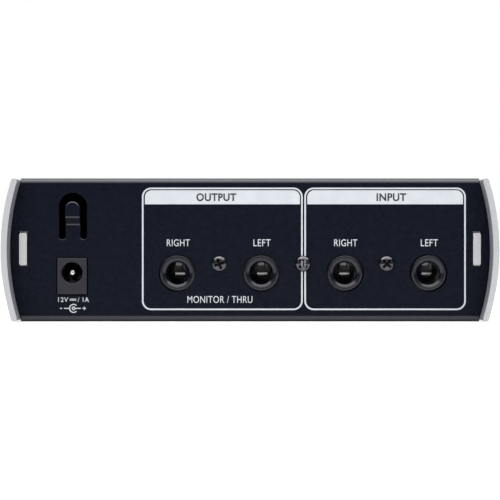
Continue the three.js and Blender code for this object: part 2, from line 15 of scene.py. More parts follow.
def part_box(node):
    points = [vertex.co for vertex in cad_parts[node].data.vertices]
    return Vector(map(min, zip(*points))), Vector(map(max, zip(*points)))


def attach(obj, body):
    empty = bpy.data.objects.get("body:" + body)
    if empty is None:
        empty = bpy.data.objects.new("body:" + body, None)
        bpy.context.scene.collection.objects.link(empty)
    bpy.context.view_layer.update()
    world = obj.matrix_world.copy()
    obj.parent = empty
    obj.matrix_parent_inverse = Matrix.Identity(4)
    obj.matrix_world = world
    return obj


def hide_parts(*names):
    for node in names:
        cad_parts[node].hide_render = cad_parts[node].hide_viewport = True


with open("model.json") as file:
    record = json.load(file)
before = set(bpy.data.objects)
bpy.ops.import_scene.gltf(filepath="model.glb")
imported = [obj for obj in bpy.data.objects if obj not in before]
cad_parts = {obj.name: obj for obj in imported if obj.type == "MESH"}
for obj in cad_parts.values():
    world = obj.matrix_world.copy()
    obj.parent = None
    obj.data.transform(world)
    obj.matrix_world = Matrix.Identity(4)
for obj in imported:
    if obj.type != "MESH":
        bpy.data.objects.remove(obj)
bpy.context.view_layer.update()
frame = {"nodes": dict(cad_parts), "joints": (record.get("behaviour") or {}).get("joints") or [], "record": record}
MM = 0.001

# ---------------------------------------------------------------- sizes taken from the frame


def span(node):
    """Lowest and highest corner of a CAD node, in millimetres."""
    low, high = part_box(node)
    return low / MM, high / MM


def centre(node):
    low, high = span(node)
    return (low + high) / 2


JOINTS = {joint["name"]: joint for joint in frame["joints"]}
REAR_JACKS = ["output_right", "output_left", "input_right", "input_left"]
CHANNELS = ["headphone_1", "headphone_2", "headphone_3", "headphone_4"]
LEVELS = ["main_level", *CHANNELS]
BUTTONS = ["mono", "mute"]
LEDS = ["power_led", "mute_led"]

JACK_PROUD = 0.5
JACK_NOSE = 5.3
JACK_HOLE = 5.65
JACK_BELOW = 6.45  # from a jack's axis to the bottom of its body
SHEET = 1.2
PANEL = 1.6
GAP = 0.3

HEIGHT = span("case_wrap")[1].z
MID_Z = HEIGHT / 2
REAR_Y = span("output_right_jack")[0].y + JACK_PROUD
REAR_IN = REAR_Y + SHEET
FRONT_Y = JOINTS["main_level_turn"]["pos_m"][1] / MM
FRONT_IN = FRONT_Y - PANEL
HALF_WIDTH = span("right_cheek")[1].x
CHEEK_LOW_Y = span("right_cheek")[0].y
CHEEK_HIGH_Y = span("right_cheek")[1].y
JACK_Z = span("output_right_jack")[0].z + JACK_BELOW
JACK_XS = [centre(f"{name}_jack").x for name in REAR_JACKS]
CHANNEL_XS = [centre(f"{name}_jack").x for name in CHANNELS]
SCREWS = [centre(f"panel_screw_{index}") for index in (1, 2, 3)]
INLET_LOW, INLET_HIGH = span("dc_inlet")
INLET_PIN = centre("dc_inlet_pin")

CHEEK_R = 72
CHEEK_WALL = 1.8
CHEEK_AXIS_X = HALF_WIDTH - CHEEK_R
TIP_Z = 20.53
EAR_R = CHEEK_R - CHEEK_WALL - 0.05
WRAP_HALF = 69.75
TAB_X, TAB_Z = 68.9, 22.1
TAB_THICK, TAB_TALL = 2.3, 10
HOOK_X = -53.75
HOOK_LOW, HOOK_TOP, HOOK_HALF = 25.0, 39.1, 4.2
TONGUE_HALF, TONGUE_TIP, TONGUE_PROUD = 2.25, 36.45, 2

# ---------------------------------------------------------------- meshes


def solid(name, verts, faces):
    """A mesh object from millimetre vertices, with its faces turned outwards."""
    mesh = bpy.data.meshes.new(name)
    mesh.from_pydata([Vector(v) * MM for v in verts], [], faces)
    work = bmesh.new()
    work.from_mesh(mesh)
    bmesh.ops.recalc_face_normals(work, faces=work.faces)
    work.to_mesh(mesh)
    work.free()
    made = bpy.data.objects.new(name, mesh)
    bpy.context.scene.collection.objects.link(made)
    return made


def arc(x, y, radius, start, end, steps):
    """Points along an arc, in degrees, both ends included."""
    angles = [math.radians(start + (end - start) * i / steps) for i in range(steps + 1)]
    return [(x + radius * math.cos(a), y + radius * math.sin(a)) for a in angles]


PLACES = {
    "x": lambda u, v, w: (w, u, v),
    "y": lambda u, v, w: (u, w, v),
    "z": lambda u, v, w: (u, v, w),
}


def prism(name, outline, low, high, axis="y"):
    """An outline in the plane across an axis, made solid from low to high along that axis."""
    place = PLACES[axis]
    count = len(outline)
    verts = [place(u, v, w) for w in (low, high) for u, v in outline]
    sides = [(i, (i + 1) % count, count + (i + 1) % count, count + i) for i in range(count)]
    return solid(name, verts, [tuple(range(count)), tuple(range(count, 2 * count)), *sides])


def block(name, low, high):
    corners = [(low[0], low[2]), (high[0], low[2]), (high[0], high[2]), (low[0], high[2])]
    return prism(name, corners, low[1], high[1])


def lathe(name, profile, sides=72, axis="y", at=(0, 0, 0)):
    """A profile of (radius, along) pairs turned about an axis. It starts and ends on the axis, or closes."""
    place = PLACES[axis]
    closed = profile[0] == profile[-1]
    rows = profile[:-1] if closed else profile
    verts, rings = [], []
    for radius, along in rows:
        turns = 1 if radius < 1e-6 else sides
        rings.append([len(verts) + i for i in range(turns)])
        for i in range(turns):
            angle = 2 * math.pi * i / sides
            verts.append(place(radius * math.cos(angle), radius * math.sin(angle), along))
    pairs = list(zip(rings, rings[1:] + rings[:1])) if closed else list(zip(rings, rings[1:]))
    faces = [face for a, b in pairs for face in ring_faces(a, b, sides)]
    made = solid(name, verts, faces)
    made.data.transform(Matrix.Translation(Vector(at) * MM))
    return made


def ring_faces(a, b, sides):
    """The faces between two rings, either of which may be a single point."""
    faces = []
    for i in range(sides):
        corners = [a[i % len(a)], a[(i + 1) % len(a)], b[(i + 1) % len(b)], b[i % len(b)]]
        face = tuple(dict.fromkeys(corners))
        if len(face) > 2:
            faces.append(face)
    return faces


def bake_modifiers(piece):
    graph = bpy.context.evaluated_depsgraph_get()
    made = bpy.data.meshes.new_from_object(piece.evaluated_get(graph))
    piece.modifiers.clear()
    piece.data = made
    return piece


def merged(name, pieces):
    """One object holding the meshes of several, as separate closed shells."""
    work = bmesh.new()
    for piece in pieces:
        work.from_mesh(piece.data)
    mesh = bpy.data.meshes.new(name)
    work.to_mesh(mesh)
    work.free()
    for piece in pieces:
        bpy.data.objects.remove(piece)
    made = bpy.data.objects.new(name, mesh)
    bpy.context.scene.collection.objects.link(made)
    return made


def boolean(piece, operation, *tools):
    for tool in tools:
        step = piece.modifiers.new("boolean", "BOOLEAN")
        step.operation = operation
        step.solver = "EXACT"
        step.object = tool
    bake_modifiers(piece)
    for tool in tools:
        bpy.data.objects.remove(tool)
    tidy = bmesh.new()
    tidy.from_mesh(piece.data)
    bmesh.ops.remove_doubles(tidy, verts=tidy.verts, dist=1e-6)
    bmesh.ops.dissolve_degenerate(tidy, dist=1e-6, edges=tidy.edges)
    tidy.to_mesh(piece.data)
    tidy.free()
    return piece


def fuse(piece, *tools):
    return boolean(piece, "UNION", *tools)


def cut(piece, *tools):
    return boolean(piece, "DIFFERENCE", *tools)


def even_shading(piece):
    """Shades smooth, with flat faces left flat."""
    piece.data.shade_smooth()
    weigh = piece.modifiers.new("even shading", "WEIGHTED_NORMAL")
    weigh.keep_sharp = True
    return bake_modifiers(piece)


def soften(piece, width, segments=3, angle=32, clamp=True):
    """Rounds the sharp edges by a width in millimetres and shades the rest smooth."""
    edge = piece.modifiers.new("rounded edges", "BEVEL")
    edge.width = width * MM
    edge.segments = segments
    edge.limit_method = "ANGLE"
    edge.angle_limit = math.radians(angle)
    edge.miter_outer = "MITER_ARC"
    edge.use_clamp_overlap = clamp
    return even_shading(piece)


def shade(piece, angle):
    """Shades smooth, but keeps edges sharper than an angle in degrees."""
    piece.data.shade_smooth()
    piece.data.set_sharp_from_angle(angle=math.radians(angle))
    return piece


# ---------------------------------------------------------------- materials


def node_material(name):
    made = bpy.data.materials.new(name)
    made.use_nodes = True
    return made, made.node_tree.nodes, made.node_tree.links


def noise(nodes, links, scale, detail=3, stretch=(1, 1, 1)):
    """Noise in the object's own metres, optionally stretched along an axis."""
    coords = nodes.new("ShaderNodeTexCoord")
    mapping = nodes.new("ShaderNodeMapping")
    mapping.inputs["Scale"].default_value = stretch
    texture = nodes.new("ShaderNodeTexNoise")
    texture.inputs["Scale"].default_value = scale
    texture.inputs["Detail"].default_value = detail
    links.new(coords.outputs["Object"], mapping.inputs["Vector"])
    links.new(mapping.outputs["Vector"], texture.inputs["Vector"])
    return texture.outputs["Fac"]


def ramp(nodes, links, value, stops):
    made = nodes.new("ShaderNodeValToRGB")
    made.color_ramp.elements[0].position = stops[0][0]
    made.color_ramp.elements[0].color = (*stops[0][1], 1)
    made.color_ramp.elements[1].position = stops[1][0]
    made.color_ramp.elements[1].color = (*stops[1][1], 1)
    links.new(value, made.inputs["Fac"])
    return made.outputs["Color"]


def surface(name, dark, light, rough, grain, grain_depth, metallic=0.0, mottle=90, specular=0.5,
            stretch=(1, 1, 1)):
    """A painted, moulded or metal surface: two close colours mottled together, uneven roughness and a fine
    grain. grain is the number of bumps per metre and grain_depth is how deep they are, in millimetres."""
    material, nodes, links = node_material(name)
    shader = nodes["Principled BSDF"]
    shader.inputs["Metallic"].default_value = metallic
    shader.inputs["Specular IOR Level"].default_value = specular
    blotches = noise(nodes, links, mottle, 4, stretch)
    links.new(ramp(nodes, links, blotches, [(0.35, dark), (0.65, light)]), shader.inputs["Base Color"])
    spread = nodes.new("ShaderNodeMapRange")
    spread.inputs["To Min"].default_value = rough - 0.05
    spread.inputs["To Max"].default_value = rough + 0.05
    fine = noise(nodes, links, grain, 2, stretch)
    links.new(fine, spread.inputs["Value"])
    links.new(spread.outputs["Result"], shader.inputs["Roughness"])
    bump = nodes.new("ShaderNodeBump")
    bump.inputs["Distance"].default_value = grain_depth * MM
    bump.inputs["Strength"].default_value = 1
    links.new(fine, bump.inputs["Height"])
    links.new(bump.outputs["Normal"], shader.inputs["Normal"])
    return material


def lens_material(name, color):
    material, nodes, links = node_material(name)
    shader = nodes["Principled BSDF"]
    shader.inputs["Transmission Weight"].default_value = 0.6
    shader.inputs["IOR"].default_value = 1.5
    links.new(
        ramp(nodes, links, noise(nodes, links, 700), [(0.3, color), (0.7, [min(1, c * 1.2) for c in color])]),
        shader.inputs["Base Color"],
    )
    spread = nodes.new("ShaderNodeMapRange")
    spread.inputs["To Min"].default_value = 0.08
    spread.inputs["To Max"].default_value = 0.16
    links.new(noise(nodes, links, 1500), spread.inputs["Value"])
    links.new(spread.outputs["Result"], shader.inputs["Roughness"])
    return material


COAT = (0.0012, 0.0023, 0.0078), (0.0034, 0.0050, 0.0122)
LOOKS = {
    "black_steel": surface(
        "black powder coat", *COAT, 0.42, 1900, 0.014, mottle=900, specular=0.1),
    "silver_cheek": surface(
        "silver cheek", (0.445, 0.452, 0.472), (0.485, 0.493, 0.513), 0.45, 7000, 0.004,
        metallic=0.35, mottle=2200),
    "plated_steel": surface(
        "zinc plate", (0.42, 0.42, 0.43), (0.55, 0.55, 0.56), 0.35, 1500, 0.002, metallic=1, mottle=150),
    "bare_aluminium": surface(
        "turned aluminium", (0.58, 0.58, 0.59), (0.68, 0.68, 0.69), 0.3, 3000, 0.002,
        metallic=1, stretch=(1, 6, 1)),
    "black_screw": surface(
        "black oxide", (0.058, 0.058, 0.064), (0.098, 0.098, 0.106), 0.18, 2500, 0.003,
        metallic=1, mottle=700),
    "jack_plastic": surface(
        "black nylon", (0.0018, 0.0024, 0.0058), (0.0042, 0.0052, 0.0098), 0.21, 3500, 0.004,
        mottle=900, specular=0.45),
    "inlet_plastic": surface(
        "dark grey plastic", (0.009, 0.0095, 0.015), (0.0125, 0.013, 0.0195), 0.40, 3000, 0.006,
        mottle=900, specular=0.4),
    "contact_metal": surface(
        "nickel contact", (0.62, 0.61, 0.58), (0.74, 0.73, 0.70), 0.22, 2500, 0.001,
        metallic=1, mottle=500),
    "knob_plastic": surface(
        "black knob", (0.011, 0.011, 0.012), (0.017, 0.017, 0.018), 0.4, 4000, 0.004, mottle=300),
    "button_plastic": surface(
        "grey button", (0.17, 0.175, 0.185), (0.20, 0.205, 0.215), 0.45, 3500, 0.003, mottle=300),
    "circuit_board": surface(
        "green board", (0.012, 0.07, 0.03), (0.018, 0.10, 0.045), 0.4, 1200, 0.004, mottle=350),
    "component_plastic": surface(
        "component black", (0.012, 0.012, 0.013), (0.02, 0.02, 0.021), 0.5, 2500, 0.004),
    "legend_print": surface(
        "white ink", (0.525, 0.555, 0.59), (0.565, 0.595, 0.63), 0.55, 5000, 0.001,
        mottle=200, specular=0.3),
}
# The same coat with a much stronger reflection, for the bends and the hook's upward faces: painted sheen where the
# overhead light falls.
COAT_PAINTED_SHEEN = surface(
    "black powder coat, painted sheen on bends", *COAT, 0.36, 1900, 0.008, mottle=900, specular=0.6)
# A lighter nickel than the leaf's, for the leaf's lower rim: painted highlight.
RIM_PAINTED_HIGHLIGHT_METAL = surface(
    "nickel rim, painted highlight", (0.36, 0.355, 0.36), (0.46, 0.455, 0.46), 0.3, 2500, 0.001, metallic=1, mottle=900)
# Nickel darkened far below the bare contact metal: painted shade on the contact leaves that sit deep in the jacks
# and the inlet.
LEAF_PAINTED_SHADE_METAL = surface(
    "nickel leaf, painted shade", (0.055, 0.054, 0.056), (0.10, 0.098, 0.10), 0.2, 2500, 0.001,
    metallic=1, mottle=900)
CHEEK_INSIDE = surface(
    "silver cheek, shaded side", (0.18, 0.184, 0.20), (0.22, 0.224, 0.24), 0.5, 7000, 0.004,
    metallic=0.2, mottle=2200, specular=0.2)
# A lighter copy of the cheek's silver for the cheeks' rear faces inside the wrap's width, above all the tabs'
# ends: painted light on faces that sit back and catch less light.
TAB_END_PAINTED_LIGHT = surface(
    "silver, painted light on the tab ends", (0.52, 0.525, 0.54), (0.565, 0.57, 0.585), 0.45, 7000, 0.004,
    metallic=0.35, mottle=2200)
# Near black and barely reflecting: painted shade for the inside of the panel screws' cross recesses.
RECESS_PAINTED_SHADE = surface(
    "black oxide, painted shade in the recess", (0.0012, 0.0012, 0.0018), (0.003, 0.003, 0.004), 0.5, 2500, 0.002,
    mottle=900, specular=0.15)
DARK_INK = surface(
    "dark ink", (0.010, 0.011, 0.014), (0.015, 0.016, 0.019), 0.5, 5000, 0.001, mottle=200)
LOOKS["lamp_lens"] = lens_material("blue lamp", (0.10, 0.28, 0.75))


def turning(face):
    """True where a bend or a rounded edge turns away from the panel."""
    return 0.1 < abs(face.normal.y) < 0.985


def add_look(piece, material, test):
    """Gives another material to the faces that pass a test."""
    piece.data.materials.append(material)
    index = len(piece.data.materials) - 1
    for face in piece.data.polygons:
        if test(face):
            face.material_index = index


def dress(piece, body, slot, *replaced, material=None):
    """Gives a finished piece its material, the slot's look unless another is given, puts it in its body and hides
    the CAD nodes that it stands for.
    """
    piece.data.materials.clear()
    piece.data.materials.append(material or LOOKS[slot])
    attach(piece, body)
    if replaced:
        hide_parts(*replaced)
    return piece


# ---------------------------------------------------------------- shared shapes


def bow_x(radius, z):
    return CHEEK_AXIS_X + math.sqrt(radius**2 - (z - MID_Z) ** 2)


def ear_outline(low, high, steps=36):
    """A panel with ears that follow the cheeks' bow and run out into the wrap's ends."""
    run_out = 1.0
    heights = [low + run_out + (high - low - 2 * run_out) * i / steps for i in range(steps + 1)]
    side = [(WRAP_HALF, low), *[(bow_x(EAR_R, z), z) for z in heights], (WRAP_HALF, high)]
    return side + [(-x, z) for x, z in reversed(side)]


def tab_slots(low, high):
    half, rise = TAB_THICK / 2 + GAP, TAB_TALL / 2 + GAP
    return [
        block("tab slot", (x - half, low, TAB_Z - rise), (x + half, high, TAB_Z + rise))
        for x in (-TAB_X, TAB_X)
    ]


def hole(radius, x, z, low, high, sides=96):
    return lathe("hole", [(0, low), (radius, low), (radius, high), (0, high)], sides, at=(x, 0, z))


def rounded(x0, x1, z0, z1, radii, steps=12):
    """A rectangle with a radius for each corner: lower right, upper right, upper left, lower left."""
    corners = [(x1, z0, -90, -1, 1), (x1, z1, 0, -1, -1), (x0, z1, 90, 1, -1), (x0, z0, 180, 1, 1)]
    points = []
    for (x, z, start, dx, dz), radius in zip(corners, radii):
        if radius:
            points += arc(x + dx * radius, z + dz * radius, radius, start, start + 90, steps)
        else:
            points.append((x, z))
    return points


# ---------------------------------------------------------------- folded wrap

TOP_BEND, BASE_BEND = 1.7, 2


def wrap_section():
    end = FRONT_IN - GAP
    top = (REAR_Y + TOP_BEND, HEIGHT - TOP_BEND)
    base = (REAR_Y + BASE_BEND, BASE_BEND)
    return [
        (end, HEIGHT),
        *arc(*top, TOP_BEND, 90, 180, 12),
        *arc(*base, BASE_BEND, 180, 270, 12),
        (end, 0),
        (end, SHEET),
        *arc(*base, BASE_BEND - SHEET, 270, 180, 12),
        *arc(*top, TOP_BEND - SHEET, 180, 90, 12),
        (end, HEIGHT - SHEET),
    ]


def hook_slot():
    leg = (HOOK_HALF - TONGUE_HALF) / 2
    leg_x = (HOOK_HALF + TONGUE_HALF) / 2
    return [
        *arc(HOOK_X, HOOK_TOP - HOOK_HALF, HOOK_HALF, 0, 180, 48),
        *arc(HOOK_X - leg_x, HOOK_LOW + leg, leg, 180, 360, 20),
        *arc(HOOK_X, TONGUE_TIP - TONGUE_HALF, TONGUE_HALF, 180, 0, 32),
        *arc(HOOK_X + leg_x, HOOK_LOW + leg, leg, 180, 360, 20),
    ]


JOGGLE_LOW, JOGGLE_HIGH = 29.5, 31.7
TONGUE_FOOT = JOGGLE_LOW - 1


def tongue_step(z):
    """How far the tongue's sheet has stepped out of the panel at a height, between two crisp bends."""
    steps = [(z + shift - JOGGLE_LOW) / (JOGGLE_HIGH - JOGGLE_LOW) for shift in (-0.2, 0, 0.2)]
    return TONGUE_PROUD * sum(min(1, max(0, step)) for step in steps) / 3


def tongue_rows(inset):
    """Half-width and height up the tongue's outline, drawn in by an inset."""
    arch = TONGUE_TIP - TONGUE_HALF
    half = TONGUE_HALF - inset
    straight = [(half, TONGUE_FOOT + 0.2 * i) for i in range(int((arch - TONGUE_FOOT) / 0.2))]
    return straight + [(half * math.cos(math.radians(a)), arch + half * math.sin(math.radians(a)))
                       for a in range(0, 90, 6)]


def hook_tongue():
    """The stepped sheet, with a round on both of its rims."""
    rim, middle = 0.4, REAR_Y + SHEET / 2
    turns = [math.radians(a) for a in (90, 67.5, 45, 22.5, 0)]
    levels = [(rim * (1 - math.cos(a)), SHEET / 2 - rim + rim * math.sin(a)) for a in turns]
    levels += [(inset, 0.02 - out) for inset, out in reversed(levels)]
    verts, rings = [], []
    for inset, out in levels:
        rows = tongue_rows(inset)
        sides = [(half, z) for half, z in rows] + [(-half, z) for half, z in reversed(rows)]
        rings.append(list(range(len(verts), len(verts) + len(sides))))
        verts += [(HOOK_X + x, middle + out - tongue_step(z), z) for x, z in sides]
    count = len(rings[0])
    faces = [face for a, b in zip(rings, rings[1:]) for face in ring_faces(a, b, count)]
    for ring in (rings[0], rings[-1]):
        across = ring[::-1]
        faces += [(ring[i], ring[i + 1], across[i + 1], across[i]) for i in range(count // 2 - 1)]
    return solid("tongue", verts, faces)


def creased(face):
    """True at the tongue's two bends."""
    return any(abs(face.center.z - z * MM) < 0.22 * MM for z in (JOGGLE_LOW, JOGGLE_HIGH))


def on_bend(face):
    """True on the top bend, and on the base bend down to where it turns under."""
    on_base = face.center.z < BASE_BEND * MM and face.normal.z > -0.72
    return on_base or face.center.z > (HEIGHT - TOP_BEND) * MM


def on_hook(face):
    """True on the cord hook's rims that face up, and on its tongue's bends."""
    beside = face.center.x < (HOOK_X + HOOK_HALF + 1) * MM
    above = face.center.z > (HOOK_LOW - 1) * MM
    return beside and above and (face.normal.z > 0.1 or creased(face))


def make_wrap():
    low, high = REAR_Y - 1, REAR_IN + 1
    wrap = prism("case_shell", wrap_section(), -WRAP_HALF, WRAP_HALF, "x")
    fuse(wrap, prism("ears", ear_outline(BASE_BEND + 0.05, HEIGHT - TOP_BEND - 0.05), REAR_Y, REAR_IN))
    slack, top_slack = 0.18, 0.05
    sides = INLET_LOW.x - slack, INLET_HIGH.x + slack
    inlet = rounded(*sides, INLET_LOW.z - slack, INLET_HIGH.z + top_slack, [0.25] * 4, 4)
    base_holes = [
        lathe("countersink", [(0, -0.1), (2.9, -0.1), (1.7, SHEET), (1.7, 1.5), (0, 1.5)], 48, "z",
              (spot.x, spot.y, 0))
        for spot in (centre(f"base_screw_{index}") for index in (1, 2, 3, 4))
    ]
    cut(
        wrap,
        *[hole(JACK_HOLE, x, JACK_Z, low, high) for x in JACK_XS],
        *[hole(1.6, spot.x, spot.z, low, high, 32) for spot in SCREWS],
        *tab_slots(low, high),
        prism("inlet hole", inlet, low, high),
        prism("hook slot", hook_slot(), low, high),
        *base_holes,
    )
    soften(wrap, 0.22, clamp=False)
    edge = TONGUE_HALF + 0.3
    foot = TONGUE_FOOT + 0.5
    cut(wrap, block("tongue blank", (HOOK_X - edge, low, foot), (HOOK_X + edge, high, TONGUE_TIP)))
    even_shading(fuse(wrap, hook_tongue()))
    dress(wrap, "case", "black_steel", "case_wrap")
    # Painted sheen: the bends, the hook's upward rims and its tongue's creases get the more reflective coat; the
    # base bend's underside keeps the plain coat so that it stays dark.
    add_look(wrap, COAT_PAINTED_SHEEN, lambda face: turning(face) and (on_bend(face) or on_hook(face)))


make_wrap()

# ---------------------------------------------------------------- cheeks


def bow_outline():
    middle = CHEEK_R - CHEEK_WALL / 2
    turn = math.degrees(math.asin(TIP_Z / middle))
    tip_x = CHEEK_AXIS_X + middle * math.cos(math.radians(turn))
    tip = CHEEK_WALL / 2
    return [
        *arc(CHEEK_AXIS_X, MID_Z, CHEEK_R, -turn, turn, 48),
        *arc(tip_x, MID_Z + TIP_Z, tip, turn, turn + 180, 12)[1:-1],
        *arc(CHEEK_AXIS_X, MID_Z, CHEEK_R - CHEEK_WALL, turn, -turn, 48),
        *arc(tip_x, MID_Z - TIP_Z, tip, 180 - turn, 360 - turn, 12)[1:-1],
    ]


def make_cheek(side, node):
    def mirror(points):
        return [(side * x, z) for x, z in points]

    inner, outer = TAB_X - TAB_THICK / 2, TAB_X + TAB_THICK / 2
    back, front = REAR_IN + GAP, FRONT_IN - GAP
    foot, head = SHEET + GAP, HEIGHT - SHEET - GAP
    wall = [(inner, foot), (outer, foot), (outer, head), (inner, head)]
    rise = TAB_TALL / 2 - 0.1
    tab_z = TAB_Z - 0.06
    tab = rounded(inner, outer, tab_z - rise, tab_z + rise, [0.5] * 4, 6)
    cheek = prism(f"{node}_bow", mirror(bow_outline()), CHEEK_LOW_Y, CHEEK_HIGH_Y)
    webs = [
        prism("web", mirror([(outer - 0.5, z - 0.75), (bow_x(CHEEK_R - 0.9, z), z - 0.75),
                             (bow_x(CHEEK_R - 0.9, z), z + 0.75), (outer - 0.5, z + 0.75)]), back, front)
        for z in (MID_Z - 12.5, MID_Z + 12.5)
    ]
    fuse(cheek, *webs, prism("wall", mirror(wall), back, front),
         prism("tab", mirror(tab), REAR_Y - 0.2, FRONT_Y + 0.2))
    soften(cheek, 0.2)
    dress(cheek, "case", "silver_cheek", node)
    add_look(cheek, CHEEK_INSIDE,
             lambda face: side * face.normal.x < -0.5 and side * face.center.x > WRAP_HALF * MM)
    # Painted light: the rear faces inside the wrap's width get the lighter silver.
    add_look(cheek, TAB_END_PAINTED_LIGHT,
             lambda face: face.center.y < (REAR_Y + 0.5) * MM and side * face.center.x < WRAP_HALF * MM)


make_cheek(1, "right_cheek")
make_cheek(-1, "left_cheek")

# ---------------------------------------------------------------- control panel


def make_front_panel():
    low, high = FRONT_IN - 1, FRONT_Y + 1
    edge = 0.2
    panel = prism("control_panel", ear_outline(2.4, HEIGHT - 2.4), FRONT_IN, FRONT_Y)
    flanges = [
        block("flange", (-60, FRONT_IN - 8.5, z), (60, FRONT_IN + PANEL / 2, z + 1))
        for z in (SHEET + GAP, HEIGHT - SHEET - GAP - 1)
    ]
    fuse(panel, block("middle", (-WRAP_HALF, FRONT_IN, edge), (WRAP_HALF, FRONT_Y, HEIGHT - edge)), *flanges)
    shafts = [JOINTS[f"{name}_turn"]["pos_m"] for name in LEVELS]
    lamps = [centre(name) for name in LEDS]
    caps = [span(f"{name}_button") for name in BUTTONS]
    screw_holes = [
        lathe("hole", [(0, 1), (1.6, 1), (1.6, 4), (0, 4)], 32, "z", (spot.x, spot.y, 0))
        for spot in (centre("base_screw_1"), centre("base_screw_2"))
    ]
    cut(
        panel,
        *[hole(3.3, x / MM, z / MM, low, high, 64) for x, _, z in shafts],
        *[hole(JACK_HOLE, x, JACK_Z, low, high) for x in CHANNEL_XS],
        *[hole(1.8, spot.x, spot.z, low, high, 48) for spot in lamps],
        *[prism("button hole", rounded(a.x - GAP, b.x + GAP, a.z - GAP, b.z + GAP, [0.8] * 4, 6), low, high)
          for a, b in caps],
        *tab_slots(low, high),
        *screw_holes,
    )
    soften(panel, 0.18)
    dress(panel, "case", "black_steel", "front_panel")


make_front_panel()

# ---------------------------------------------------------------- phone jacks


def jack_shell():
    """A jack about the Y axis: the panel's outer face is at y = 0 and the plug goes in along +Y."""
    back, deep, bore = 3.2, 27, 3.2
    nose = [(0, -0.3), (4.0, -0.3), (4.4, -0.36), (4.5, -0.5), (5.0, -0.5), (5.16, -0.46), (JACK_NOSE, -0.28),
            (JACK_NOSE, back + 1), (0, back + 1)]
    body = block("jack", (-8, back, -6.45), (8, deep, 6.5))
    soften(body, 0.4, 2)
    fuse(body, lathe("nose", nose, 96))
    floor = deep - 1.5
    socket = [(0, -1), (4.9, -1), (4.36, -0.4), (3.4, 0.55), (bore, 0.85), (bore, floor), (0, floor)]
    cut(body, lathe("socket", socket, 96), block("spring slot", (-1.5, 8.4, 0), (2.9, floor, 8)))
    soften(body, 0.08, 2, 40)
    return body


def smoothstep(value):
    value = min(1, max(0, value))
    return value * value * (3 - 2 * value)


def ribbon(name, path, low, high, thick, corner=0.0):
    """A strip bent along a path of (y, z) points, from low to high along X, with its last end rounded."""
    verts = []
    for i, (y, z) in enumerate(path):
        before, after = path[max(0, i - 1)], path[min(len(path) - 1, i + 1)]
        along = Vector((after[0] - before[0], after[1] - before[1])).normalized()
        out = Vector((-along.y, along.x)) * thick / 2
        pinch = corner * smoothstep((i - len(path) + 5) / 5)
        for x, face in ((low + pinch, 1), (high - pinch, 1), (high - pinch, -1), (low + pinch, -1)):
            verts.append((x, y + face * out.x, z + face * out.y))
    rings = [list(range(4 * i, 4 * i + 4)) for i in range(len(path))]
    faces = [face for a, b in zip(rings, rings[1:]) for face in ring_faces(a, b, 4)]
    return solid(name, verts, [tuple(rings[0]), tuple(rings[-1]), *faces])


def jack_contact():
    """The tip contact: a leaf along the top of the jack that turns down into the bore, with a slit up one
    side and a plate at its end, whose lower rim rolls away from the mouth."""
    top = [(24.8, 5.6), (11.2, 5.6), *arc(10.9, 5.0, 0.6, 90, 180, 5)]
    hanging = [(10.3, 3.1), (10.42, 2.15), (10.15, 1.9), (10.1, 1.2), (9.99, 0.3)]
    rim = [(9.97, -0.1), (9.98, -0.3), (10.005, -0.5), (10.045, -0.7), (10.095, -0.88), (10.17, -1.0),
           (10.3, -1.1)]
    contact = ribbon("contact", top + hanging, -0.92, 0.98, 0.34)
    strip = ribbon("strip", top[:-1] + [(10.45, 1.3), (10.15, 0.1)], 1.35, 1.95, 0.34)
    bridge = block("bridge", (0.5, 13, 5.5), (1.6, 24, 5.7))
    plate = ribbon("plate", [(9.99, 0.35), (9.97, 0.1), *rim], -1.15, 1.9, 0.4, 0.55)
    fuse(contact, strip, bridge, plate)
    soften(contact, 0.06, 2)
    return contact


def place_copies(source, name, x, y, z, turn):
    """A copy of a shape made round the Y axis, with its place written into its mesh."""
    made = bpy.data.objects.new(name, source.data.copy())
    made.data.transform(Matrix.Translation(Vector((x, y, z)) * MM) @ Matrix.Rotation(turn, 4, "Z"))
    bpy.context.scene.collection.objects.link(made)
    return made


def make_jacks():
    shell, contact = jack_shell(), jack_contact()
    places = [(name, x, REAR_Y, 0) for name, x in zip(REAR_JACKS, JACK_XS)]
    places += [(name, x, FRONT_Y, math.pi) for name, x in zip(CHANNELS, CHANNEL_XS)]
    for name, x, y, turn in places:
        jack = place_copies(shell, f"{name}_jack_body", x, y, JACK_Z, turn)
        leaf = place_copies(contact, f"{name}_contact", x, y, JACK_Z, turn)
        dress(jack, "case", "jack_plastic", f"{name}_jack")
        # The leaf takes the darkened nickel as painted shade.
        dress(leaf, "case", "contact_metal", f"{name}_spring", material=LEAF_PAINTED_SHADE_METAL)
        # Painted highlight: the faces of the leaf's lower rim get the lighter nickel.
        rim = (JACK_Z - 0.15) * MM
        add_look(leaf, RIM_PAINTED_HIGHLIGHT_METAL, lambda face: face.center.z < rim)
    bpy.data.objects.remove(shell)
    bpy.data.objects.remove(contact)


make_jacks()

# ---------------------------------------------------------------- screws


def cross_screw(name, profile, arm, depth, axis, at, turn=0.0):
    """A screw with a cross recess, turned from its head's top at the start of its profile."""
    screw = lathe(name, profile, 64, axis)
    top = profile[0][1]
    bottom = top + math.copysign(depth, profile[-1][1] - top)
    wide = 0.4
    low, high = sorted((top + (top - bottom), bottom))
    tools = []
    for reach, half in ((arm, wide), (wide, arm)):
        if axis == "y":
            tools.append(block("recess", (-reach, low, -half), (reach, high, half)))
        else:
            tools.append(block("recess", (-reach, -half, low), (reach, half, high)))
    cut(screw, tools[0])
    cut(screw, tools[1])
    soften(screw, 0.09, 2, 35)
    screw.data.transform(Matrix.Translation(Vector(at) * MM) @ Matrix.Rotation(turn, 4, axis.upper()))
    return screw


def in_recess(face, spot):
    """True inside a panel screw's cross recess."""
    place = face.center / MM
    return REAR_Y - 0.55 < place.y < REAR_Y + 0.1 and math.dist(place.xz, spot.xz) < 1.8


